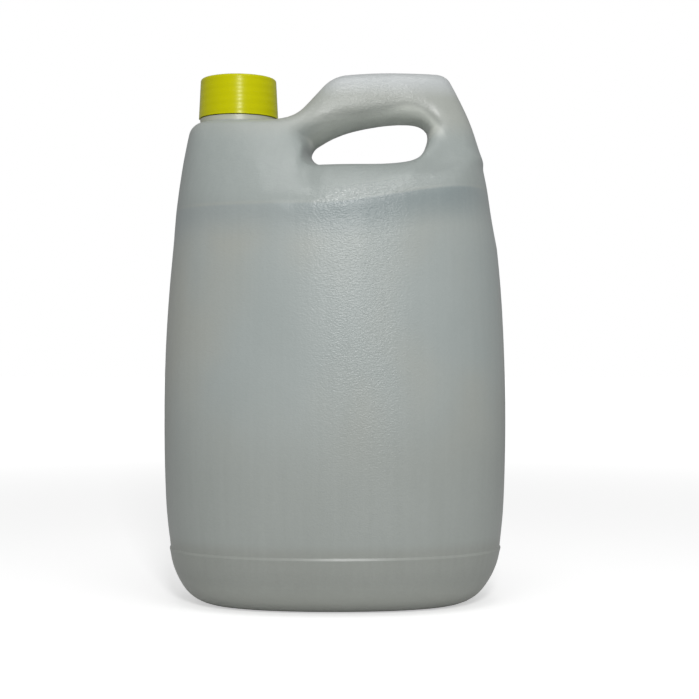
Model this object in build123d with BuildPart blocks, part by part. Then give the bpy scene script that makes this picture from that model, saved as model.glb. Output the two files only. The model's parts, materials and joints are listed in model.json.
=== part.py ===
from math import cos, hypot, radians, sin, sqrt
import os

from build123d import *

# Blow-moulded jug of about 3.7 litres: hollow body with a through handle, screw cap and cap liner.
# Millimetres, +Z up, origin on the table below the middle of the body, X along the long
# side from the neck to the handle, Y through the jug from front to back.

# Body
body_length = 181.2        # at its widest, along X
body_depth = 118.0         # at its widest, along Y
handle_height = 279.3      # from the table to the top of the handle
wall = 1.2                 # blown wall, measured level
foot_height = 28.8
ledge_height = 1.2         # step between the foot and the label panel
ridge_drop = 70.3          # from the top of the handle down to the panel's upper end
base_rounding = 20.0
ring_width = 17.0          # from the foot's end to the hollow under it, at the table
push_up_height = 3.0
push_up_run = 7.0          # level run of the hollow's sloping side

# Top outline, seen from the front
deck_drop = 25.9           # from the top of the handle down to the deck round the neck
climb_gap = 19.4           # from the neck's axis to where the deck starts to climb
climb_slope = 48.5         # degrees, at its steepest
climb_foot_radius = 22.0
climb_knee_radius = 19.0
crest_slope = 6.0          # degrees, where the knee passes into the long flat crest
crest_run = 28.0
crown_rounding = 8.0

# Handle and its finger slot
handle_width = 35.2
handle_thickness = 26.0    # above the slot
slot_gap = 19.0            # from the foot of the climb to the slot
slot_leg = 40.2            # from the slot to the body's right end
slot_sill = 22.0           # from the panel's upper end to the slot's floor
slot_run_out = 2.0         # how far above the panel's upper end the widened slot stays
slot_waist = 4.0           # rounding of the slot's narrowest line
rim_rounding = 6.0

# Neck, cap and liner
neck_inset = 39.1          # from the body's left end to the neck's axis
neck_radius = 17.3
neck_wall = 1.8
neck_root = 8.0            # how far the neck reaches down into the deck
cap_lift = 2.9             # cap above the deck
cap_height = 21.0
cap_wall = 2.3             # at the cap's foot
cap_draft = 1.05           # how much narrower the cap is at its top
cap_rounding = 1.4
cap_roof = 1.6
collar_width = 3.1         # ring round the neck that fills the room below the cap
collar_gap = 0.4
thread_gap = 1.5           # between neck wall and cap wall, where both threads run
liner_height = 1.5
liner_gap = 0.3
lead_in = 0.6

ridge_height = handle_height - ridge_drop
panel_start = foot_height + ledge_height
deck_height = handle_height - deck_drop
left_end = -body_length / 2
right_end = body_length / 2
neck_x = left_end + neck_inset
climb_start = neck_x + climb_gap
slot_floor = ridge_height + slot_sill
slot_roof = handle_height - handle_thickness
slot_left = climb_start + slot_gap
slot_right = right_end - slot_leg
cap_start = deck_height + cap_lift
cap_bore = neck_radius + thread_gap
cap_ceiling = cap_start + cap_height - cap_roof
rim_height = cap_ceiling - liner_height

# Sections of the body: share of the height, how far the left end, the right end and the
# front lie inside the widest section, fullness of the plan (2 is an ellipse), and how much
# deeper the neck side is than the handle side.
foot_profile = [
    (0.0, 17.0, 18.3, 14.0, 2.3, 0.0),
    (0.357, 9.1, 9.8, 7.0, 2.3, 0.0),
    (0.679, 4.8, 5.0, 4.1, 2.3, 0.0),
    (1.0, 2.8, 2.6, 2.4, 2.3, 0.0),
]
panel_profile = [
    (0.0, 3.3, 3.1, 2.9, 2.3, 0.0),
    (0.088, 1.5, 1.5, 1.5, 2.3, 0.0),
    (0.227, 0.3, 0.4, 0.4, 2.3, 0.0),
    (0.366, 0.0, 0.0, 0.0, 2.3, 0.0),
    (0.561, 0.6, 0.7, 0.1, 2.3, 0.0),
    (0.755, 2.7, 2.5, 0.8, 2.3, 0.0),
    (0.894, 5.0, 4.9, 1.8, 2.35, 0.2),
    (0.956, 5.9, 6.2, 2.5, 2.35, 0.5),
    (1.0, 6.7, 7.6, 3.0, 2.4, 1.0),
]
# The same above the ridge, but the front by its share of the way from the handle's width
# to the ridge's depth.
shoulder_profile = [
    (0.129, 7.9, 9.5, 0.854, 2.5, 1.6),
    (0.3, 9.7, 12.1, 0.620, 2.7, 2.2),
    (0.471, 11.9, 14.9, 0.359, 3.0, 2.8),
    (0.643, 14.8, 18.9, 0.138, 3.3, 3.2),
    (0.814, 19.1, 24.4, 0.042, 3.4, 3.2),
    (1.043, 25.6, 33.1, 0.0, 3.4, 3.2),
]
foot_sections = 8
body_sections = 40

# Outline of the slot at its narrowest: shares of its length and height, and the way that
# each point moves as the slot widens
slot_profile = [
    ((0.0, 0.20), (-1.0, -0.2)),
    ((0.045, 0.03), (-0.75, -0.85)),
    ((0.22, 0.0), (0.0, -1.0)),
    ((0.52, 0.0), (0.0, -1.0)),
    ((0.77, 0.05), (0.1, -1.0)),
    ((0.93, 0.19), (0.35, -0.8)),
    ((1.0, 0.52), (0.4, 0.0)),
    ((0.95, 0.88), (0.35, 0.8)),
    ((0.79, 1.0), (0.1, 1.0)),
    ((0.51, 0.93), (0.0, 1.0)),
    ((0.24, 0.73), (-0.2, 1.0)),
    ((0.06, 0.455), (-0.8, 0.6)),
]
slot_sections = 16


def station(height, left, right, depth, fullness, lean):
    return (height, left_end + left, right_end - right, depth, fullness, lean)


foot_stations = [
    station(share * foot_height, left, right, body_depth / 2 - front, fullness, lean)
    for share, left, right, front, fullness, lean in foot_profile
]
body_stations = [
    station(panel_start + share * (ridge_height - panel_start), left, right,
            body_depth / 2 - front, fullness, lean)
    for share, left, right, front, fullness, lean in panel_profile
]
ridge_depth = body_stations[-1][3]
body_stations += [
    station(ridge_height + share * ridge_drop, left, right,
            handle_width / 2 + front * (ridge_depth - handle_width / 2), fullness, lean)
    for share, left, right, front, fullness, lean in shoulder_profile
]
slot_slope = (slot_sill - slot_run_out) / (hypot(ridge_depth, slot_waist) - slot_waist)


def station_at(table, height):
    """Values of the station table at any height, on a smooth curve through its rows."""
    last = len(table) - 1
    row = 0
    while row < last - 1 and height > table[row + 1][0]:
        row += 1

    def slope(index, column):
        low = max(index - 1, 0)
        high = min(index + 1, last)
        span_low = table[index][0] - table[low][0]
        span_high = table[high][0] - table[index][0]
        if low == index:
            return (table[high][column] - table[index][column]) / span_high
        if high == index:
            return (table[index][column] - table[low][column]) / span_low
        rise_low = (table[index][column] - table[low][column]) / span_low
        rise_high = (table[high][column] - table[index][column]) / span_high
        return (rise_low * span_high + rise_high * span_low) / (span_low + span_high)

    span = table[row + 1][0] - table[row][0]
    t = (height - table[row][0]) / span
    values = []
    for column in range(1, len(table[0])):
        values.append(
            (2 * t**3 - 3 * t**2 + 1) * table[row][column]
            + (t**3 - 2 * t**2 + t) * span * slope(row, column)
            + (3 * t**2 - 2 * t**3) * table[row + 1][column]
            + (t**3 - t**2) * span * slope(row + 1, column)
        )
    return values


def plan_curves(left, right, depth, fullness, lean):
    """Closed plan of four curves; lean makes the left side deeper than the right."""
    pull = (8 * 2 ** (-1 / fullness) - 4) / 3
    reach = pull * (right - left) / 2
    middle = (left + right) / 2
    tilt = pull * lean
    Bezier((right, 0), (right, pull * (depth - lean)), (middle + reach, depth - tilt), (middle, depth))
    Bezier((middle, depth), (middle - reach, depth + tilt), (left, pull * (depth + lean)), (left, 0))
    Bezier((left, 0), (left, -pull * (depth + lean)), (middle - reach, -depth - tilt), (middle, -depth))
    Bezier((middle, -depth), (middle + reach, tilt - depth), (right, pull * (lean - depth)), (right, 0))


def stack(table, count, inset, start):
    """Solid through the plans of a station table from start up, smaller all round by inset."""
    rise = (table[-1][0] - start) / count
    with BuildPart() as solid:
        for index in range(count + 1):
            left, right, depth, fullness, lean = station_at(table, start + rise * index)
            with BuildSketch(Plane.XY.offset(start + rise * index)):
                with BuildLine():
                    plan_curves(left + inset, right - inset, depth - inset, fullness, lean)
                make_face()
        loft()
    return solid.part


def climb_curves(inset):
    """Top outline from the deck to the crest of the handle: arc, slope, arc and long arc."""
    steep = radians(climb_slope)
    easy = radians(crest_slope)
    crest_radius = crest_run / sin(easy)
    knee_level = handle_height - crest_radius + (crest_radius - climb_knee_radius) * cos(easy)
    rise = (knee_level + climb_knee_radius * cos(steep)
            - deck_height - climb_foot_radius * (1 - cos(steep)))
    run = (climb_foot_radius + climb_knee_radius) * sin(steep) + rise / sin(steep) * cos(steep)
    foot = (climb_start, deck_height + climb_foot_radius)
    knee = (climb_start + run, knee_level)
    crest = (knee[0] + (crest_radius - climb_knee_radius) * sin(easy), handle_height - crest_radius)

    def spot(centre, radius, angle, side):
        return (centre[0] - side * radius * sin(angle), centre[1] + side * radius * cos(angle))

    def arc(centre, radius, start, end, side):
        ThreePointArc(*[spot(centre, radius, angle, side) for angle in (start, (start + end) / 2, end)])

    foot_radius = climb_foot_radius + inset
    knee_radius = climb_knee_radius - inset
    arc(foot, foot_radius, 0, steep, -1)
    Line(spot(foot, foot_radius, steep, -1), spot(knee, knee_radius, steep, 1))
    arc(knee, knee_radius, steep, easy, 1)
    arc(crest, crest_radius - inset, easy, 0, 1)
    return crest[0]


def slot_form(inset):
    """Finger slot, narrowest at the mid plane, widening toward the front and the back."""
    reach = body_depth / 2 + 5
    length = slot_right - slot_left
    height = slot_roof - slot_floor
    with BuildPart() as solid:
        for index in range(slot_sections + 1):
            away = reach * (2 * index / slot_sections - 1)
            growth = slot_slope * (sqrt(away**2 + slot_waist**2) - slot_waist) + inset
            points = [
                (slot_left + along * length + growth * right, slot_floor + up * height + growth * rise)
                for (along, up), (right, rise) in slot_profile
            ]
            with BuildSketch(Plane.XZ.offset(away)):
                with BuildLine():
                    Spline(*points, periodic=True)
                make_face()
        loft()
    return solid.part


def body_form(inset):
    """Outside of the body, or with a wall as inset the hollow inside it."""
    deck = deck_height - inset
    top = handle_height - inset
    above = handle_height + 20
    with BuildPart() as solid:
        add(stack(body_stations, body_sections, inset, panel_start))
        with BuildSketch(Plane.XZ):
            with BuildLine():
                Line((-body_length, deck), (climb_start, deck))
                crest = climb_curves(inset)
                Polyline((crest, top), (body_length, top), (body_length, above), (-body_length, above),
                         (-body_length, deck))
            make_face()
        extrude(amount=body_depth, both=True, mode=Mode.SUBTRACT)
        crown = solid.edges().filter_by(GeomType.LINE, reverse=True)
        crown = crown.filter_by_position(Axis.Z, deck - 1, above)
        fillet(crown.filter_by(lambda edge: abs(edge.center().Y) > 1), radius=crown_rounding - inset)
        add(slot_form(inset), mode=Mode.SUBTRACT)
        rim = solid.edges(Select.NEW).filter_by(lambda edge: abs(edge.bounding_box().center().Y) > 5)
        fillet(rim, radius=rim_rounding - inset)

        # Lower end of the label panel and the wider foot below it
        add(stack((foot_stations[-1], body_stations[0]), 1, inset, foot_height))
        add(stack(foot_stations, foot_sections, inset, inset))
        sole = solid.edges().group_by(Axis.Z)[0]
        fillet(sole, radius=base_rounding - inset)

        # Hollow under the base, with a sloping side
        _, left, right, depth, _, _ = foot_stations[0]
        length = (right - left) / 2 - ring_width + inset
        width = depth - ring_width + inset
        with BuildSketch():
            with Locations(((left + right) / 2, 0)):
                Ellipse(length, width)
        with BuildSketch(Plane.XY.offset(push_up_height + inset)):
            with Locations(((left + right) / 2, 0)):
                Ellipse(length - push_up_run, width - push_up_run)
        loft(mode=Mode.SUBTRACT)
    return solid.part


def neck_plane(height):
    return Plane.XY.offset(height) * Location((neck_x, 0, 0))


with BuildPart() as jug_body:
    add(body_form(0))
    with BuildSketch(neck_plane(deck_height - neck_root)):
        Circle(neck_radius)
    extrude(amount=rim_height - deck_height + neck_root)
    with BuildSketch(neck_plane(deck_height - neck_root)):
        Circle(neck_radius + collar_width)
    extrude(amount=cap_lift - collar_gap + neck_root)
    add(body_form(wall), mode=Mode.SUBTRACT)
    with BuildSketch(neck_plane(deck_height - neck_root - 4)):
        Circle(neck_radius - neck_wall)
    extrude(amount=rim_height - deck_height + neck_root + 4, mode=Mode.SUBTRACT)

with BuildPart() as screw_cap:
    with BuildSketch(neck_plane(cap_start)):
        Circle(cap_bore + cap_wall)
    with BuildSketch(neck_plane(cap_start + cap_height)):
        Circle(cap_bore + cap_wall - cap_draft)
    loft()
    fillet(screw_cap.edges().group_by(Axis.Z)[-1], radius=cap_rounding)
    with BuildSketch(neck_plane(cap_start)):
        Circle(cap_bore)
    extrude(amount=cap_height - cap_roof, mode=Mode.SUBTRACT)
    mouth = screw_cap.edges().group_by(Axis.Z)[0].sort_by(SortBy.RADIUS)[0]
    chamfer(mouth, length=lead_in)

with BuildPart() as cap_liner:
    with BuildSketch(neck_plane(rim_height)):
        Circle(cap_bore - liner_gap)
    extrude(amount=liner_height)

jug_body.part.label = "jug_body"
screw_cap.part.label = "screw_cap"
cap_liner.part.label = "cap_liner"
os.makedirs("parts", exist_ok=True)
export_step(jug_body.part, "parts/jug_body.step")
export_step(screw_cap.part, "parts/screw_cap.step")
export_step(cap_liner.part, "parts/cap_liner.step")
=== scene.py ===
import json
import math

import bmesh
import bpy
import numpy as np
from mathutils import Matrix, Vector

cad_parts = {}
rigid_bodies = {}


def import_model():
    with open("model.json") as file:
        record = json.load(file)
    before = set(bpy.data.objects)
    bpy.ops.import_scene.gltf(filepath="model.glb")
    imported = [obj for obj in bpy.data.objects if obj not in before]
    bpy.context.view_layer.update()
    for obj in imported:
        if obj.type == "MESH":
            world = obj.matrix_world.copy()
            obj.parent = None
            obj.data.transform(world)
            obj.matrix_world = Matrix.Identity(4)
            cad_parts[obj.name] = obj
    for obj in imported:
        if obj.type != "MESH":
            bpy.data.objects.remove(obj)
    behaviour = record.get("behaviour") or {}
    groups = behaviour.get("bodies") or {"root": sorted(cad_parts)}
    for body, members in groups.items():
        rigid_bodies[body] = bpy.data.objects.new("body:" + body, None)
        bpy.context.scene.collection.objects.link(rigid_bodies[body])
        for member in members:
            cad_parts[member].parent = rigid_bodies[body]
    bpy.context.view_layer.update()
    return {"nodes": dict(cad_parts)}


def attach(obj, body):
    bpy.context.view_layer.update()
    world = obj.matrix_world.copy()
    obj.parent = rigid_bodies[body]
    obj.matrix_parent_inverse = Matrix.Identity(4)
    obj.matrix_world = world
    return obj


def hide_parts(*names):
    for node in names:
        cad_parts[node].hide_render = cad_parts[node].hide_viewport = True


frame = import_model()

# Sizes of the solids that the looks follow, in metres
neck_x = -0.0515
neck_radius = 0.0173
cap_bore_radius = 0.0188
cap_top_height = 0.2773
ridge_height = 0.209

# The slot, in the middle plane: the ends of its axis as (x, z), its radius there, and its flare per depth
slot_low_end = (-0.0050, 0.2385)
slot_low_radius = 0.0065
slot_high_end = (0.0372, 0.2425)
slot_high_radius = 0.0115
slot_flare = 0.384

# The shoulder's wedge: its half depth at one height, the loss per height, and the plan along the jug
wedge_height = 0.220
wedge_half_depth = 0.0479
wedge_slope = 0.73
wedge_plan_depth = 1.025
wedge_plan_reach = 0.128

# Where the skin leaves the solid: flare of the slot's lower side, the fold's climb, and the leg's side
lower_side_flare = 0.129
fold_lift = 0.0105
fold_lift_start = -0.010
fold_lift_end = 0.075
fold_reach = 0.022
fold_reach_more_by_leg = 0.014
leg_side_draw = 0.0021

# The reshaped part of the skin: its corners as (x, z), its longest edge, and how clear of the neck it is
reshaped_low = (-0.050, 0.184)
reshaped_high = (0.095, 0.2755)
reshaped_edge = 0.0022
neck_clearance = 0.026
neck_clearance_height = 0.245

# Thread ridges of the neck and the cap
thread_pitch = 0.0042
thread_depth = 0.0012
thread_root = 0.0002
thread_start_height = 0.2590
thread_foot_width = 0.0021
thread_crest_width = 0.0008

# Camera, aim of the lamps and share of the white surroundings that lights the jug
camera_place = (0.0077, -0.760, 0.1335)
camera_lens = 73.3
lamp_aim = (0.0, 0.0, 0.15)
world_brightness = 0.36


# Node helpers

def add_node(tree, kind, **settings):
    """New node, with its input sockets or its own settings given by name."""
    node = tree.nodes.new(kind)
    for name, value in settings.items():
        if name in node.inputs:
            plug(tree, value, node.inputs[name])
        else:
            setattr(node, name, value)
    return node


def plug(tree, value, socket):
    if isinstance(value, bpy.types.NodeSocket):
        tree.links.new(value, socket)
    else:
        socket.default_value = value


def math_node(tree, operation, first, second=None, third=None, clamp=False):
    node = add_node(tree, "ShaderNodeMath", operation=operation, use_clamp=clamp)
    for value, socket in zip((first, second, third), node.inputs):
        if value is not None:
            plug(tree, value, socket)
    return node.outputs[0]


def times(tree, first, second):
    return math_node(tree, "MULTIPLY", first, second)


def weighted_sum(tree, *parts):
    """Sum of the pairs of value and weight."""
    total = 0.0
    for value, weight in parts:
        total = math_node(tree, "MULTIPLY_ADD", value, weight, total)
    return total


def vector_of(tree, x=0.0, y=0.0, z=0.0):
    node = tree.nodes.new("ShaderNodeCombineXYZ")
    for value, socket in zip((x, y, z), node.inputs):
        plug(tree, value, socket)
    return node.outputs[0]


def step(tree, value, start, end):
    """Soft step from 0 at start to 1 at end."""
    node = add_node(tree, "ShaderNodeMapRange", interpolation_type="SMOOTHSTEP")
    for name, setting in (("Value", value), ("From Min", start), ("From Max", end)):
        plug(tree, setting, node.inputs[name])
    return node.outputs["Result"]


def zone(tree, value, low, high, edge):
    """Mask that is 1 between low and high and fades out over edge."""
    rising = step(tree, value, low - edge, low)
    falling = step(tree, value, high + edge, high)
    return times(tree, rising, falling)


def noise(tree, place, scale, stretch=(1.0, 1.0, 1.0), detail=2.0, roughness=0.5):
    mapping = add_node(tree, "ShaderNodeMapping", Vector=place, Scale=stretch)
    texture = add_node(tree, "ShaderNodeTexNoise", Vector=mapping.outputs["Vector"], Scale=scale,
                       Detail=detail, Roughness=roughness)
    return texture.outputs["Fac"]


def blend(tree, factor, first, second):
    node = add_node(tree, "ShaderNodeMix", data_type="RGBA")
    for value, socket in ((factor, node.inputs[0]), (first, node.inputs[6]), (second, node.inputs[7])):
        plug(tree, value, socket)
    return node.outputs[2]


# Grain that every moulded material of the jug has

def moulded_grain():
    """Shader group: Cloud is a broad drift of the surface, Grain its fine relief, laid level by Flatness."""
    tree = bpy.data.node_groups.new("moulded grain", "ShaderNodeTree")
    tree.interface.new_socket("Place", in_out="INPUT", socket_type="NodeSocketVector")
    for name in ("Grain Scale", "Cloud Scale", "Flatness"):
        tree.interface.new_socket(name, in_out="INPUT", socket_type="NodeSocketFloat")
    for name in ("Cloud", "Grain"):
        tree.interface.new_socket(name, in_out="OUTPUT", socket_type="NodeSocketFloat")
    given = tree.nodes.new("NodeGroupInput").outputs
    result = tree.nodes.new("NodeGroupOutput").inputs

    flattened = add_node(tree, "ShaderNodeVectorMath", operation="MULTIPLY")
    tree.links.new(given["Place"], flattened.inputs[0])
    tree.links.new(vector_of(tree, 1.0, 1.0, given["Flatness"]), flattened.inputs[1])
    cloud = add_node(tree, "ShaderNodeTexNoise", Vector=given["Place"], Scale=given["Cloud Scale"],
                     Detail=3.0)
    grain = add_node(tree, "ShaderNodeTexNoise", Vector=flattened.outputs[0], Scale=given["Grain Scale"],
                     Detail=3.0, Roughness=0.6)
    tree.links.new(cloud.outputs["Fac"], result["Cloud"])
    tree.links.new(grain.outputs["Fac"], result["Grain"])
    return tree


grain_group = moulded_grain()


def new_plastic(name, grain_scale, cloud_scale, flatness):
    """Material, its tree and shader, the place on the piece, and the cloud and grain of its surface."""
    material = bpy.data.materials.new(name)
    material.use_nodes = True
    tree = material.node_tree
    place = add_node(tree, "ShaderNodeTexCoord").outputs["Object"]
    surface = add_node(tree, "ShaderNodeGroup", node_tree=grain_group)
    settings = {"Place": place, "Grain Scale": grain_scale, "Cloud Scale": cloud_scale, "Flatness": flatness}
    for socket_name, value in settings.items():
        plug(tree, value, surface.inputs[socket_name])
    shader = tree.nodes["Principled BSDF"]
    return material, tree, shader, place, surface.outputs["Cloud"], surface.outputs["Grain"]


def raise_surface(tree, shader, relief, depth):
    bump = add_node(tree, "ShaderNodeBump", Height=relief, Distance=depth)
    tree.links.new(bump.outputs["Normal"], shader.inputs["Normal"])


# Milky polyethylene of the body: tones as linear colours, most of them painted shade, painted light and a
# painted reflection, the collar's band and the foot's ledge

milk_cool = (0.288, 0.323, 0.314, 1.0)
milk_warm = (0.306, 0.322, 0.292, 1.0)
# painted shade: darker bluish band under the fold, where the wall steps in and faces down
fold_painted_shade = (0.238, 0.276, 0.279, 1.0)
# painted shade: darker still under the fold in front of the slot
fold_front_painted_shade = (0.145, 0.185, 0.190, 1.0)
# painted shade: darker on the shoulder, which faces up to the lamps
shoulder_painted_shade = (0.260, 0.292, 0.280, 1.0)
# painted light: lighter handle, as if lit through its thin walls
handle_painted_light = (0.425, 0.447, 0.450, 1.0)
# painted light: much lighter underside of the handle and low end of the slot, lifting their shade
slot_painted_light = (0.62, 0.645, 0.59, 1.0)
# painted shade: darker low on the body, as the light falls off downwards
lower_painted_shade = (0.268, 0.291, 0.273, 1.0)
# painted shade: darker foot
foot_painted_shade = (0.236, 0.250, 0.227, 1.0)
# painted light: lighter on the foot's lowest rounding, which faces the floor
base_edge_painted_light = (0.310, 0.324, 0.292, 1.0)
# painted light: lighter neck, lifting the shade under the cap's edge
neck_painted_light = (0.390, 0.415, 0.390, 1.0)
# painted reflection: yellowish, lighter collar, as if the cap's yellow bounced onto it
collar_painted_reflection = (0.410, 0.425, 0.330, 1.0)
# pale specks of the wall, and a painted highlight on the pebbles above the fold
speck_and_highlight_tone = (0.75, 0.78, 0.77, 1.0)
collar_reach = 0.0208
collar_low = 0.2538
collar_high = 0.2560
ledge_low = 0.027
ledge_high = 0.036


def shoulder_line(tree, across):
    """Height of the line under the fold, which climbs towards the handle's outer leg."""
    lift = step(tree, across, fold_lift_start, fold_lift_end)
    return math_node(tree, "MULTIPLY_ADD", lift, fold_lift, ridge_height - 0.0025)


def near_slot(tree, across, depth, height):
    """Mask of the handle's underside and the slot's low end, where painted light lifts their shade, and which
    fades out over their rim.
    """
    run = slot_high_end[0] - slot_low_end[0]
    rise = slot_high_end[1] - slot_low_end[1]
    from_low = math_node(tree, "SUBTRACT", across, slot_low_end[0])
    share = math_node(tree, "DIVIDE", from_low, run, clamp=True)
    beyond = math_node(tree, "MULTIPLY_ADD", share, -run, from_low)
    axis_height = math_node(tree, "MULTIPLY_ADD", share, rise, slot_low_end[1])
    above = math_node(tree, "SUBTRACT", height, axis_height)
    squares = math_node(tree, "MULTIPLY_ADD", beyond, beyond, times(tree, above, above))
    radius = math_node(tree, "MULTIPLY_ADD", share, slot_high_radius - slot_low_radius, slot_low_radius)
    distance = math_node(tree, "SUBTRACT", math_node(tree, "SQRT", squares), radius)
    far = math_node(tree, "ABSOLUTE", depth)
    past_wall = math_node(tree, "MULTIPLY_ADD", far, -slot_flare, distance)
    on_wall = step(tree, past_wall, 0.0026, 0.0)
    upper = step(tree, above, -0.003, 0.005)
    deep = step(tree, far, 0.024, 0.011)
    return times(tree, times(tree, on_wall, upper), deep)


def pebble_zone(tree, across, height):
    """Mask of the pebbled skin: above the fold in front of the slot, and faintly along the handle's top."""
    above_line = math_node(tree, "SUBTRACT", height, shoulder_line(tree, across))
    level = zone(tree, above_line, 0.001, 0.005, 0.005)
    by_fold = times(tree, level, zone(tree, across, 0.012, 0.036, 0.032))
    return math_node(tree, "MULTIPLY_ADD", step(tree, height, 0.264, 0.271), 0.35, by_fold)


def flow_streaks(tree, place):
    """Faint upright streaks that the wall has from being blown."""
    return noise(tree, place, 330.0, (1.0, 1.0, 0.03))


def milky_colour(tree, place, cloud, grain):
    """Grey milk of the wall: a drift of two tones, painted shade, painted light and a painted reflection by
    region over it, a painted highlight on the pebbles, and pale specks.
    """
    across, depth, height = add_node(tree, "ShaderNodeSeparateXYZ", Vector=place).outputs
    below_line = math_node(tree, "SUBTRACT", shoulder_line(tree, across), height)
    under_fold = times(tree, step(tree, below_line, -0.0008, 0.0012), step(tree, below_line, 0.022, 0.003))
    fold_front = times(tree, under_fold, zone(tree, across, 0.0, 0.055, 0.030))
    on_shoulder = times(tree, step(tree, below_line, 0.001, -0.002), step(tree, height, 0.256, 0.240))

    off_neck = math_node(tree, "SUBTRACT", across, neck_x)
    squares = math_node(tree, "MULTIPLY_ADD", off_neck, off_neck, times(tree, depth, depth))
    by_axis = step(tree, squares, (collar_reach + 0.0006) ** 2, collar_reach ** 2)
    on_neck = times(tree, by_axis, step(tree, height, collar_low - 0.001, collar_low))
    on_collar = times(tree, by_axis, zone(tree, height, collar_low, collar_high, 0.0008))

    drift = step(tree, noise(tree, place, 13.0, (1.0, 1.0, 0.7)), 0.38, 0.62)
    colour = blend(tree, drift, milk_cool, milk_warm)
    layers = (
        # painted shade under the fold
        (times(tree, under_fold, 0.75), fold_painted_shade),
        # painted shade under the fold, in front of the slot
        (times(tree, fold_front, 0.65), fold_front_painted_shade),
        # painted shade on the shoulder
        (on_shoulder, shoulder_painted_shade),
        # painted light on the handle
        (step(tree, height, 0.264, 0.275), handle_painted_light),
        # painted shade low on the body
        (step(tree, height, 0.130, 0.060), lower_painted_shade),
        # painted shade on the foot, and painted light on its lowest rounding
        (step(tree, height, 0.038, 0.031), foot_painted_shade),
        (step(tree, height, 0.018, 0.004), base_edge_painted_light),
        # painted light on the neck
        (on_neck, neck_painted_light),
        # painted reflection of the yellow cap on the collar
        (on_collar, collar_painted_reflection),
        # painted light under the handle and at the slot's low end
        (near_slot(tree, across, depth, height), slot_painted_light),
        # painted highlight on the pebbles above the fold
        (times(tree, pebble_zone(tree, across, height), 0.10), speck_and_highlight_tone),
        # pale specks, streaks and grain of the wall itself
        (weighted_sum(tree, (cloud, 0.08), (flow_streaks(tree, place), 0.05), (grain, 0.06)), speck_and_highlight_tone),
    )
    for mask, tone in layers:
        colour = blend(tree, mask, colour, tone)
    return colour


def milky_relief(tree, place, grain, pebbled):
    """Fine grain, level ripples in the panel's middle, pebbles, streaks and seam, calmed at the ledge."""
    across, depth, height = add_node(tree, "ShaderNodeSeparateXYZ", Vector=place).outputs
    middle = zone(tree, across, 0.006, 0.028, 0.033)
    column = zone(tree, across, 0.018, 0.027, 0.009)
    middle = times(tree, math_node(tree, "MULTIPLY_ADD", column, 0.6, middle), step(tree, height, 0.0, 0.120))
    ripples = math_node(tree, "SUBTRACT", noise(tree, place, 820.0, (1.0, 1.0, 1.6), 3.0), 0.5)
    ripples = times(tree, ripples, math_node(tree, "MULTIPLY_ADD", middle, 0.85, 0.22))
    swell = noise(tree, place, 380.0, (1.0, 1.0, 1.8), 3.0)
    pebbles = times(tree, math_node(tree, "SUBTRACT", swell, 0.5), pebbled)
    off_seam = math_node(tree, "DIVIDE", math_node(tree, "ABSOLUTE", depth), 0.0005)
    seam = math_node(tree, "SUBTRACT", 1.0, off_seam, clamp=True)
    relief = weighted_sum(tree, (grain, 0.25), (ripples, 1.0), (pebbles, 3.5), (swell, 0.20),
                          (flow_streaks(tree, place), 0.15), (seam, 0.5))
    on_ledge = zone(tree, height, ledge_low, ledge_high, 0.005)
    return times(tree, relief, math_node(tree, "MULTIPLY_ADD", on_ledge, -0.9, 1.0))


def milky_plastic():
    """Natural blown polyethylene, satin, and smoother where it is pebbled."""
    material, tree, shader, place, cloud, grain = new_plastic("milky plastic", 620.0, 20.0, 1.3)
    across, _, height = add_node(tree, "ShaderNodeSeparateXYZ", Vector=place).outputs
    pebbled = pebble_zone(tree, across, height)
    plug(tree, milky_colour(tree, place, cloud, grain), shader.inputs["Base Color"])
    clouded = math_node(tree, "MULTIPLY_ADD", cloud, 0.12, 0.29)
    plug(tree, math_node(tree, "MULTIPLY_ADD", pebbled, -0.16, clouded), shader.inputs["Roughness"])
    shader.inputs["IOR"].default_value = 1.5
    shader.inputs["Specular IOR Level"].default_value = 0.45
    raise_surface(tree, shader, milky_relief(tree, place, grain, pebbled), 0.00022)
    return material


# Yellow plastic of the cap, foam of its liner

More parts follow.
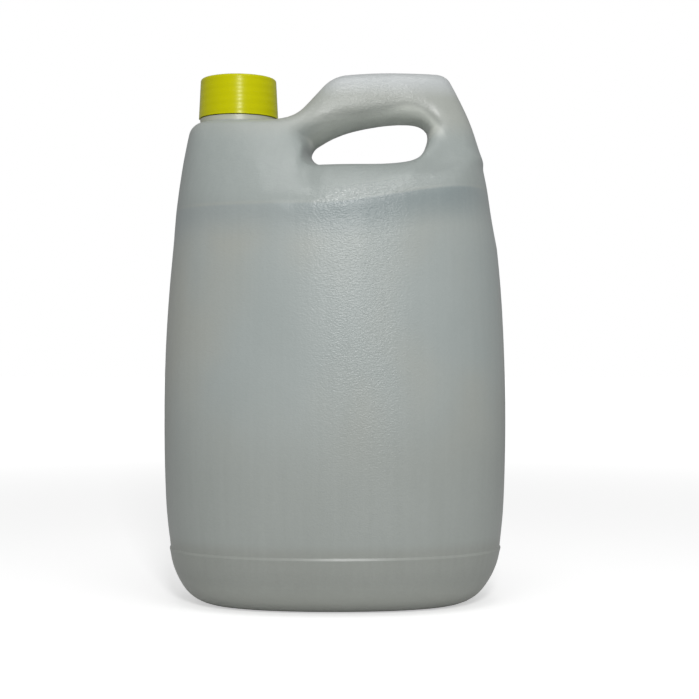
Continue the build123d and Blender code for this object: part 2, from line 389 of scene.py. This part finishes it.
def yellow_plastic():
    """Moulded cap: faint sink marks outside its thread, a ring and a gate mark on top."""
    material, tree, shader, place, cloud, grain = new_plastic("yellow plastic", 1100.0, 70.0, 1.0)
    centred = add_node(tree, "ShaderNodeMapping", Vector=place, Location=(-neck_x, 0.0, 0.0))
    across, depth, height = add_node(tree, "ShaderNodeSeparateXYZ", Vector=centred.outputs["Vector"]).outputs

    turn = math_node(tree, "DIVIDE", math_node(tree, "ARCTAN2", depth, across), 2.0 * math.pi)
    climb = math_node(tree, "SUBTRACT", math_node(tree, "DIVIDE", height, thread_pitch), turn)
    sink = math_node(tree, "COSINE", times(tree, climb, 2.0 * math.pi))
    squares = math_node(tree, "MULTIPLY_ADD", across, across, times(tree, depth, depth))
    radius = math_node(tree, "SQRT", squares)
    top = step(tree, height, cap_top_height - 0.0008, cap_top_height - 0.0003)
    gate = step(tree, radius, 0.0018, 0.0013)
    ring = zone(tree, radius, 0.0152, 0.0160, 0.0002)
    mark = times(tree, top, math_node(tree, "ADD", gate, ring))

    scuffs = step(tree, noise(tree, place, 260.0, (1.0, 1.0, 6.0), 3.0, 0.7), 0.60, 0.72)
    colour = blend(tree, cloud, (0.465, 0.458, 0.0, 1.0), (0.515, 0.508, 0.0, 1.0))
    colour = blend(tree, times(tree, scuffs, 0.05), colour, (0.70, 0.70, 0.20, 1.0))
    plug(tree, colour, shader.inputs["Base Color"])
    scuffed = math_node(tree, "MULTIPLY_ADD", scuffs, 0.08, 0.20)
    plug(tree, math_node(tree, "MULTIPLY_ADD", cloud, 0.10, scuffed), shader.inputs["Roughness"])
    shader.inputs["IOR"].default_value = 1.49
    shader.inputs["Specular IOR Level"].default_value = 0.18
    shader.inputs["Specular Tint"].default_value = (1.0, 1.0, 0.75, 1.0)

    relief = weighted_sum(tree, (sink, 0.5), (grain, 0.07), (mark, 1.5))
    raise_surface(tree, shader, relief, 0.00009)
    return material


def white_foam():
    """Closed-cell foam of the cap's liner."""
    material, tree, shader, _, cloud, cells = new_plastic("white foam", 1500.0, 90.0, 1.0)
    colour = blend(tree, cells, (0.64, 0.64, 0.60, 1.0), (0.84, 0.84, 0.81, 1.0))
    plug(tree, colour, shader.inputs["Base Color"])
    plug(tree, math_node(tree, "MULTIPLY_ADD", cloud, 0.15, 0.68), shader.inputs["Roughness"])
    raise_surface(tree, shader, cells, 0.00008)
    return material


def dress(name, material):
    """Give a CAD node its material."""
    node = frame["nodes"][name]
    if not node.data.materials:
        node.data.materials.append(material)
    for place in node.material_slots:
        place.material = material


milky = milky_plastic()
yellow = yellow_plastic()
dress("screw_cap", yellow)
dress("cap_liner", white_foam())


# The body's skin, with the soft lower side of its finger slot and the fold that climbs to the handle's leg

def soft_step(value, start, end):
    share = np.clip((value - start) / (end - start), 0.0, 1.0)
    return share * share * (3.0 - 2.0 * share)


def soft_min(first, second, softness):
    share = np.clip(0.5 + 0.5 * (second - first) / softness, 0.0, 1.0)
    return second + (first - second) * share - softness * share * (1.0 - share)


def around_slot(across, height):
    """Distance from the slot's outline in the jug's middle plane, and the way out from it."""
    low = np.array(slot_low_end)
    axis = np.array(slot_high_end) - low
    place = np.stack([across, height], axis=1) - low
    share = np.clip(place @ axis / (axis @ axis), 0.0, 1.0)
    from_axis = place - share[:, None] * axis
    length = np.linalg.norm(from_axis, axis=1)
    radius = slot_low_radius + share * (slot_high_radius - slot_low_radius)
    return length - radius, from_axis / np.maximum(length, 1e-9)[:, None]


def shoulder_height(across, far):
    """Height at which the shoulder's wedge is as deep as far, at its place along the jug."""
    plan = wedge_plan_depth * (1.0 - (across / wedge_plan_reach) ** 2)
    return wedge_height + (wedge_half_depth - far / plan) / wedge_slope


def slot_shift(points):
    """Shift that closes the slot's flare below and at its low end, up to the wedge of the shoulder."""
    across, depth, height = points.T
    far = np.abs(depth)
    distance, outward = around_slot(across, height)
    past_wall = distance - slot_flare * far
    near = soft_step(past_wall, 0.016, 0.002)
    side = soft_step(outward[:, 1], 0.50, 0.05)
    ease = far * (slot_flare - lower_side_flare) * near * side
    wall_height = height - outward[:, 1] * past_wall
    room = np.maximum(shoulder_height(across, far) - wall_height, 0.0)
    lift = np.maximum(soft_min(-outward[:, 1] * ease, room * near, 0.006), 0.0)
    shift = np.zeros_like(points)
    shift[:, 0] = -outward[:, 0] * ease
    shift[:, 2] = lift * (outward[:, 1] < 0.0)
    return shift, near * side


def fold_shift(points):
    """Lift of the fold towards the handle's outer leg, and the leg's side drawn in round it."""
    across, depth, height = points.T
    along = soft_step(across, fold_lift_start, fold_lift_end) * soft_step(across, 0.092, 0.080)
    reach_above = fold_reach + fold_reach_more_by_leg * soft_step(across, 0.052, 0.074)
    reach = np.where(height > ridge_height, reach_above, fold_reach)
    level = soft_step(np.abs(height - ridge_height), reach, 0.002)
    level_of_draw = soft_step(height, 0.2270, 0.2195) * soft_step(height, 0.186, 0.204)
    outer = soft_step(across, 0.050, 0.082) * level_of_draw
    shift = np.zeros_like(points)
    shift[:, 0] = -leg_side_draw * outer
    shift[:, 2] = fold_lift * along * level
    return shift, np.maximum(along * level, outer)


def relax(points, edges, weight, rounds):
    """Even out the points towards the middle of their neighbours, by weight."""
    count = np.zeros(len(points))
    np.add.at(count, edges.ravel(), 1.0)
    for _ in range(rounds):
        total = np.zeros_like(points)
        np.add.at(total, edges[:, 0], points[edges[:, 1]])
        np.add.at(total, edges[:, 1], points[edges[:, 0]])
        points = points + 0.5 * weight[:, None] * (total / count[:, None] - points)
    return points


def handle_rim(points):
    """Weight of the rim under the handle, which is wider and softer than the solid's."""
    across, depth, height = points.T
    far = np.abs(depth)
    distance, outward = around_slot(across, height)
    past_wall = distance - slot_flare * far
    near = soft_step(np.abs(past_wall - 0.001), 0.011, 0.003)
    return near * soft_step(outward[:, 1], -0.25, 0.25) * soft_step(far, 0.008, 0.014)


def in_region(across, depth, height):
    """Whether a place is in the reshaped part: the shoulder and the handle, clear of the neck."""
    along = (across > reshaped_low[0]) & (across < reshaped_high[0])
    level = (height > reshaped_low[1]) & (height < reshaped_high[1])
    round_neck = (across - neck_x) ** 2 + depth ** 2 < neck_clearance ** 2
    return along & level & ~(round_neck & (height > neck_clearance_height))


def split_mesh(source, longest):
    """Merged copy of a mesh, with the reshaped part's edges split, and each face's face in the source."""
    work = bmesh.new()
    work.from_mesh(source)
    parent = work.faces.layers.int.new("parent")
    for face in work.faces:
        face[parent] = face.index
    bmesh.ops.remove_doubles(work, verts=work.verts, dist=1e-6)
    for _ in range(6):
        long_edges = []
        for edge in work.edges:
            middle = np.array((edge.verts[0].co + edge.verts[1].co) / 2.0)
            if edge.calc_length() > longest and in_region(*middle):
                long_edges.append(edge)
        bmesh.ops.subdivide_edges(work, edges=long_edges, cuts=1, use_single_edge=True)
        bmesh.ops.triangulate(work, faces=work.faces)
    parents = np.array([face[parent] for face in work.faces])
    mesh = bpy.data.meshes.new("jug_skin")
    work.to_mesh(mesh)
    work.free()
    for name in ("custom_normal", "parent"):
        if name in mesh.attributes:
            mesh.attributes.remove(mesh.attributes[name])
    return mesh, parents


def source_normals(source, parents, corners):
    """Normals of the source's faces at the corners of the triangles split from them."""
    source_corners = np.array([face.vertices[:] for face in source.polygons])
    places = np.array([vertex.co[:] for vertex in source.vertices])[source_corners][parents]
    normals = np.zeros((len(source.loops), 3))
    source.corner_normals.foreach_get("vector", normals.ravel())
    normals = normals.reshape(-1, 3, 3)[parents]
    first = places[:, 1] - places[:, 0]
    second = places[:, 2] - places[:, 0]
    offset = corners - places[:, :1]
    first_first = np.sum(first * first, axis=1)[:, None]
    second_second = np.sum(second * second, axis=1)[:, None]
    first_second = np.sum(first * second, axis=1)[:, None]
    offset_first = np.einsum("fci,fi->fc", offset, first)
    offset_second = np.einsum("fci,fi->fc", offset, second)
    area = np.maximum(first_first * second_second - first_second ** 2, 1e-24)
    share_first = np.clip((second_second * offset_first - first_second * offset_second) / area, 0.0, 1.0)
    share_second = np.clip((first_first * offset_second - first_second * offset_first) / area, 0.0, 1.0)
    shares = np.stack([1.0 - share_first - share_second, share_first, share_second], axis=2)
    return np.einsum("fcs,fsi->fci", shares, normals)


def point_normals(points, faces):
    """Normals of the points: the mean of the faces round them, by area."""
    corners = points[faces]
    facing = np.cross(corners[:, 1] - corners[:, 0], corners[:, 2] - corners[:, 0])
    normals = np.zeros_like(points)
    for corner in range(3):
        np.add.at(normals, faces[:, corner], facing)
    return normals / np.maximum(np.linalg.norm(normals, axis=1), 1e-24)[:, None]


def jug_skin(node, material):
    """Skin that stands for the body's solid, with the solid's own shading where its form is kept."""
    mesh, parents = split_mesh(node.data, reshaped_edge)
    points = np.array([vertex.co[:] for vertex in mesh.vertices])
    edges = np.array([edge.vertices[:] for edge in mesh.edges])
    faces = np.array([face.vertices[:] for face in mesh.polygons])
    kept_normals = source_normals(node.data, parents, points[faces])

    reshaped = in_region(*points.T)
    rim = handle_rim(points) * reshaped
    points = relax(points, edges, rim, rounds=45)
    shift, slot_weight = slot_shift(points)
    points = points + shift
    shift, fold_weight = fold_shift(points)
    points = points + shift
    changed = np.maximum(soft_step(slot_weight, 0.0, 0.15), soft_step(fold_weight, 0.0, 0.15)) * reshaped
    points = relax(points, edges, changed, rounds=20)

    changed = np.maximum(changed, soft_step(rim, 0.0, 0.15))[faces][:, :, None]
    normals = kept_normals * (1.0 - changed) + point_normals(points, faces)[faces] * changed
    normals = normals / np.maximum(np.linalg.norm(normals, axis=2), 1e-24)[:, :, None]
    mesh.vertices.foreach_set("co", points.ravel())
    mesh.shade_smooth()
    mesh.normals_split_custom_set(normals.reshape(-1, 3))
    mesh.materials.clear()
    mesh.materials.append(material)
    piece = bpy.data.objects.new("jug_skin", mesh)
    bpy.context.scene.collection.objects.link(piece)
    return piece


skin = jug_skin(frame["nodes"]["jug_body"], milky)
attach(skin, "jug")
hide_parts("jug_body")


# Threads of the neck and the cap

def thread_ridge():
    """Geometry tree of a right-hand thread ridge that fades into its wall at both ends."""
    tree = bpy.data.node_groups.new("thread ridge", "GeometryNodeTree")
    tree.is_modifier = True
    for name in ("Root Radius", "Crest Radius", "Pitch", "Turns", "Start Height", "Start Turn", "Foot Width",
                 "Crest Width"):
        tree.interface.new_socket(name, in_out="INPUT", socket_type="NodeSocketFloat")
    tree.interface.new_socket("Finish", in_out="INPUT", socket_type="NodeSocketMaterial")
    tree.interface.new_socket("Geometry", in_out="OUTPUT", socket_type="NodeSocketGeometry")
    given = tree.nodes.new("NodeGroupInput").outputs
    result = tree.nodes.new("NodeGroupOutput").inputs

    spiral = add_node(tree, "GeometryNodeCurveSpiral", Resolution=96, Rotations=given["Turns"],
                      Height=times(tree, given["Turns"], given["Pitch"]), Reverse=True)
    for name in ("Start Radius", "End Radius"):
        tree.links.new(given["Root Radius"], spiral.inputs[name])
    upright = add_node(tree, "GeometryNodeSetCurveNormal", mode="Z_UP", Curve=spiral.outputs["Curve"])

    # The section runs from the foot's lower edge over the crest to its upper edge
    rise = math_node(tree, "SUBTRACT", given["Crest Radius"], given["Root Radius"])
    half = times(tree, math_node(tree, "SIGN", rise), 0.5)
    foot = times(tree, given["Foot Width"], half)
    crest = times(tree, given["Crest Width"], half)
    section = add_node(tree, "GeometryNodeCurvePrimitiveQuadrilateral", mode="POINTS")
    corners = ((0.0, times(tree, foot, -1.0)), (rise, times(tree, crest, -1.0)), (rise, crest), (0.0, foot))
    for number, corner in enumerate(corners, 1):
        plug(tree, vector_of(tree, *corner), section.inputs[f"Point {number}"])

    along = add_node(tree, "GeometryNodeSplineParameter").outputs["Factor"]
    to_end = math_node(tree, "MINIMUM", along, math_node(tree, "SUBTRACT", 1.0, along))
    fade = math_node(tree, "MULTIPLY", times(tree, to_end, given["Turns"]), 5.0, clamp=True)
    sweep = add_node(tree, "GeometryNodeCurveToMesh", Curve=upright.outputs["Curve"],
                     Scale=math_node(tree, "MAXIMUM", fade, 0.03))
    tree.links.new(section.outputs["Curve"], sweep.inputs["Profile Curve"])
    sweep.inputs["Fill Caps"].default_value = True

    seat = add_node(tree, "GeometryNodeTransform", Geometry=sweep.outputs["Mesh"],
                    Translation=vector_of(tree, neck_x, 0.0, given["Start Height"]),
                    Rotation=vector_of(tree, 0.0, 0.0, times(tree, given["Start Turn"], 2.0 * math.pi)))
    real = add_node(tree, "GeometryNodeRealizeInstances", Geometry=seat.outputs["Geometry"])
    finish = add_node(tree, "GeometryNodeSetMaterial", Geometry=real.outputs["Geometry"],
                      Material=given["Finish"])
    tree.links.new(finish.outputs["Geometry"], result["Geometry"])
    return tree


def thread(name, tree, sizes):
    """Mesh of one thread, made from the tree with its sizes."""
    piece = bpy.data.objects.new(name, bpy.data.meshes.new(name))
    bpy.context.scene.collection.objects.link(piece)
    modifier = piece.modifiers.new("thread", "NODES")
    modifier.node_group = tree
    for item in tree.interface.items_tree:
        if item.in_out == "INPUT":
            modifier[item.identifier] = sizes[item.name]
    bpy.context.view_layer.update()
    mesh = bpy.data.meshes.new_from_object(piece.evaluated_get(bpy.context.evaluated_depsgraph_get()))
    piece.modifiers.remove(modifier)
    piece.data = mesh
    mesh.name = name
    return piece


ridge = thread_ridge()
shared = {"Pitch": thread_pitch, "Start Height": thread_start_height,
          "Foot Width": thread_foot_width, "Crest Width": thread_crest_width}
neck_thread = thread("neck_thread", ridge, {
    "Root Radius": neck_radius - thread_root, "Crest Radius": neck_radius + thread_depth,
    "Turns": 3.0, "Start Turn": 0.0, "Finish": milky, **shared})
cap_thread = thread("cap_thread", ridge, {
    "Root Radius": cap_bore_radius + thread_root, "Crest Radius": cap_bore_radius - thread_depth,
    "Turns": 2.5, "Start Turn": 0.5, "Finish": yellow, **shared})
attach(neck_thread, "jug")
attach(cap_thread, "cap")


# Floor, light and camera

def pale_floor():
    """Matte floor that the camera sees as white, with the jug's shadow kept."""
    material = bpy.data.materials.new("pale floor")
    material.use_nodes = True
    tree = material.node_tree
    tree.nodes.clear()
    matte = add_node(tree, "ShaderNodeBsdfDiffuse", Color=(0.72, 0.72, 0.72, 1.0))
    place = add_node(tree, "ShaderNodeTexCoord").outputs["Object"]
    distance = add_node(tree, "ShaderNodeVectorMath", operation="LENGTH")
    tree.links.new(place, distance.inputs[0])
    far = step(tree, distance.outputs["Value"], 0.3, 1.6)
    seen = math_node(tree, "MULTIPLY_ADD", far, 0.34, 0.50)
    path = add_node(tree, "ShaderNodeLightPath")
    glow = add_node(tree, "ShaderNodeEmission", Strength=times(tree, path.outputs["Is Camera Ray"], seen))
    both = add_node(tree, "ShaderNodeAddShader")
    tree.links.new(matte.outputs[0], both.inputs[0])
    tree.links.new(glow.outputs[0], both.inputs[1])
    add_node(tree, "ShaderNodeOutputMaterial", Surface=both.outputs[0])

    reach = 6.0
    mesh = bpy.data.meshes.new("floor")
    corners = [(-reach, -reach, 0.0), (reach, -reach, 0.0), (reach, reach, 0.0), (-reach, reach, 0.0)]
    mesh.from_pydata(corners, [], [(0, 1, 2, 3)])
    mesh.materials.append(material)
    piece = bpy.data.objects.new("floor", mesh)
    bpy.context.scene.collection.objects.link(piece)


def studio_world(brightness):
    """Even white surroundings: brightness is what lights the jug, and the camera sees white."""
    world = bpy.data.worlds.new("studio")
    world.use_nodes = True
    tree = world.node_tree
    tree.nodes.clear()
    path = add_node(tree, "ShaderNodeLightPath")
    strength = math_node(tree, "MULTIPLY_ADD", path.outputs["Is Camera Ray"], 1.0 - brightness, brightness)
    sky = add_node(tree, "ShaderNodeBackground", Color=(1.0, 1.0, 1.0, 1.0), Strength=strength)
    add_node(tree, "ShaderNodeOutputWorld", Surface=sky.outputs[0])
    bpy.context.scene.world = world


def lamp(name, place, width, height, power):
    """Rectangular lamp that is turned to the jug."""
    light = bpy.data.lights.new(name, "AREA")
    light.shape = "RECTANGLE"
    light.size = width
    light.size_y = height
    light.energy = power
    piece = bpy.data.objects.new(name, light)
    piece.location = place
    piece.rotation_euler = (Vector(lamp_aim) - Vector(place)).to_track_quat("-Z", "Y").to_euler()
    bpy.context.scene.collection.objects.link(piece)


def camera(place, lens):
    """Level camera that looks along +Y."""
    data = bpy.data.cameras.new("camera")
    data.sensor_width = 36.0
    data.lens = lens
    data.clip_start = 0.01
    piece = bpy.data.objects.new("camera", data)
    piece.location = place
    piece.rotation_euler = (math.pi / 2.0, 0.0, 0.0)
    bpy.context.scene.collection.objects.link(piece)
    bpy.context.scene.camera = piece


pale_floor()
studio_world(world_brightness)
lamp("overhead softbox", (0.05, -0.35, 1.20), width=0.6, height=0.6, power=3.5)
lamp("front lamp", (0.07, -0.92, 0.53), width=0.12, height=0.18, power=4.9)
camera(camera_place, camera_lens)
bpy.context.scene.view_settings.view_transform = "Standard"
